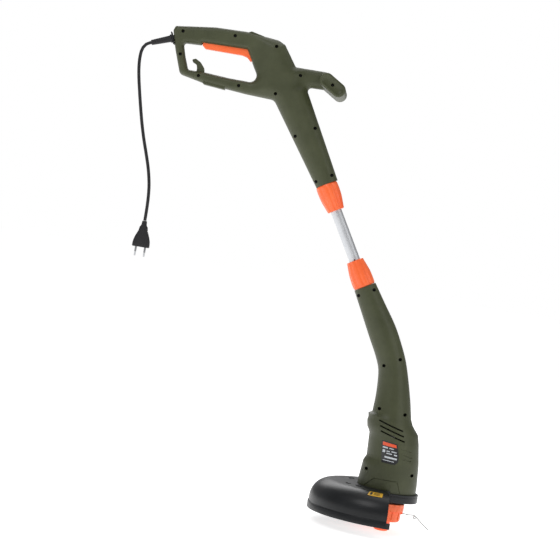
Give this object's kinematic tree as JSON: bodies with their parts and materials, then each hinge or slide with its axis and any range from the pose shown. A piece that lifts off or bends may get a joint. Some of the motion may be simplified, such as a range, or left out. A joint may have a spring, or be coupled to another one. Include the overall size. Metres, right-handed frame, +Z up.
{
  "type": "string trimmer",
  "caption": "Corded string trimmer: D-handle with trigger and front grip, telescoping shaft, turning motor head with half-round guard and bump-feed line spool.",
  "frame": {"origin": "middle of the rear grip, the top bar of the D-handle, on the parting plane of the housings", "axes": "+Z is up along the spool's axis, away from the ground; +X points forward, from the rear grip to the cutting head; +Y is to the user's left, square to the parting plane"},
  "size_m": [0.7278, 0.306, 0.9389],
  "materials": {
    "olive": "moulded satin",
    "orange": "moulded satin",
    "black": "moulded satin",
    "cord": "smooth",
    "alu": "drawn",
    "steel": "turned",
    "dark_steel": "black oxide",
    "copper": "varnished windings on steel laminations",
    "carbon": "pressed carbon in a brass holder",
    "nylon": "extruded nylon",
    "label": "printed film"
  },
  "bodies": {
    "handle": {"upper_shell_left": "olive", "upper_shell_right": "olive", "cord_hook": "olive", "cord_clamp": "black", "strain_relief": "cord", "power_cord": "cord", "plug_body": "cord", "plug_pin_a": "steel", "plug_pin_b": "steel", "switch_body": "black", "trigger_spring": "steel", "upper_collet": "black", "upper_screw_01": "dark_steel", "upper_screw_02": "dark_steel", "upper_screw_03": "dark_steel", "upper_screw_04": "dark_steel", "upper_screw_05": "dark_steel", "upper_screw_06": "dark_steel", "upper_screw_07": "dark_steel", "upper_screw_08": "dark_steel", "upper_screw_09": "dark_steel", "upper_screw_10": "dark_steel", "upper_screw_11": "dark_steel", "upper_screw_12": "dark_steel", "front_grip_screw_01": "dark_steel"},
    "trigger": {"trigger": "orange"},
    "plunger": {"switch_plunger": "black"},
    "upper_collar": {"upper_collar": "orange"},
    "shaft": {"shaft_tube": "alu", "tube_end_ring": "steel"},
    "lower_collar": {"lower_collar": "orange"},
    "head": {"lower_shell_left": "olive", "lower_shell_right": "olive", "rating_label": "label", "stator": "steel", "bearing_bracket": "alu", "upper_bearing": "steel", "lower_bearing": "steel", "brush_front": "carbon", "brush_rear": "carbon", "guard": "black", "guard_screw": "dark_steel", "line_cutter": "steel", "lower_screw_01": "dark_steel", "lower_screw_02": "dark_steel", "lower_screw_03": "dark_steel", "lower_screw_04": "dark_steel", "lower_screw_05": "dark_steel", "lower_screw_06": "dark_steel", "lower_screw_07": "dark_steel", "lower_screw_08": "dark_steel"},
    "rotor": {"armature": "copper", "motor_shaft": "steel", "cooling_fan": "black", "spool_housing": "orange", "spool_cover": "orange", "spool_spring": "steel", "cutting_line": "nylon"},
    "line_reel": {"line_spool": "black", "bump_knob": "orange"}
  },
  "joints": [
    {"name": "trigger_pull", "type": "hinge", "parent": "handle", "child": "trigger", "pos_m": [-0.032, 0, -0.009], "axis": [0, -1, 0], "range_deg": [0, 4.5], "stiffness_Nm_per_rad": 2, "springref_deg": -8.59, "deforming": ["trigger_spring"]},
    {"name": "switch_push", "type": "slide", "parent": "handle", "child": "plunger", "axis": [0, 0, 1], "range_m": [0, 0.0066]},
    {"name": "upper_collar_twist", "type": "hinge", "parent": "handle", "child": "upper_collar", "pos_m": [0.305, 0, -0.3487], "axis": [0.5, 0, -0.866], "range_deg": [0, 90]},
    {"name": "shaft_slide", "type": "slide", "parent": "handle", "child": "shaft", "axis": [-0.5, 0, 0.866], "range_m": [0, 0.1]},
    {"name": "lower_collar_twist", "type": "hinge", "parent": "head", "child": "lower_collar", "pos_m": [0.305, 0, -0.3487], "axis": [0.5, 0, -0.866], "range_deg": [0, 90]},
    {"name": "head_turn", "type": "hinge", "parent": "shaft", "child": "head", "pos_m": [0.305, 0, -0.3487], "axis": [0.5, 0, -0.866], "range_deg": [0, 180]},
    {"name": "rotor_spin", "type": "hinge", "parent": "head", "child": "rotor", "pos_m": [0.47, 0, -0.835], "axis": [0, 0, 1], "continuous": true},
    {"name": "bump_feed", "type": "slide", "parent": "rotor", "child": "line_reel", "axis": [0, 0, 1], "range_m": [0, 0.005], "stiffness_N_per_m": 1500, "springref_m": -0.004, "deforming": ["spool_spring"]}
  ],
  "couplings": [
    {"joint": "switch_push", "follows": "trigger_pull", "m_per_rad": 0.082}
  ]
}
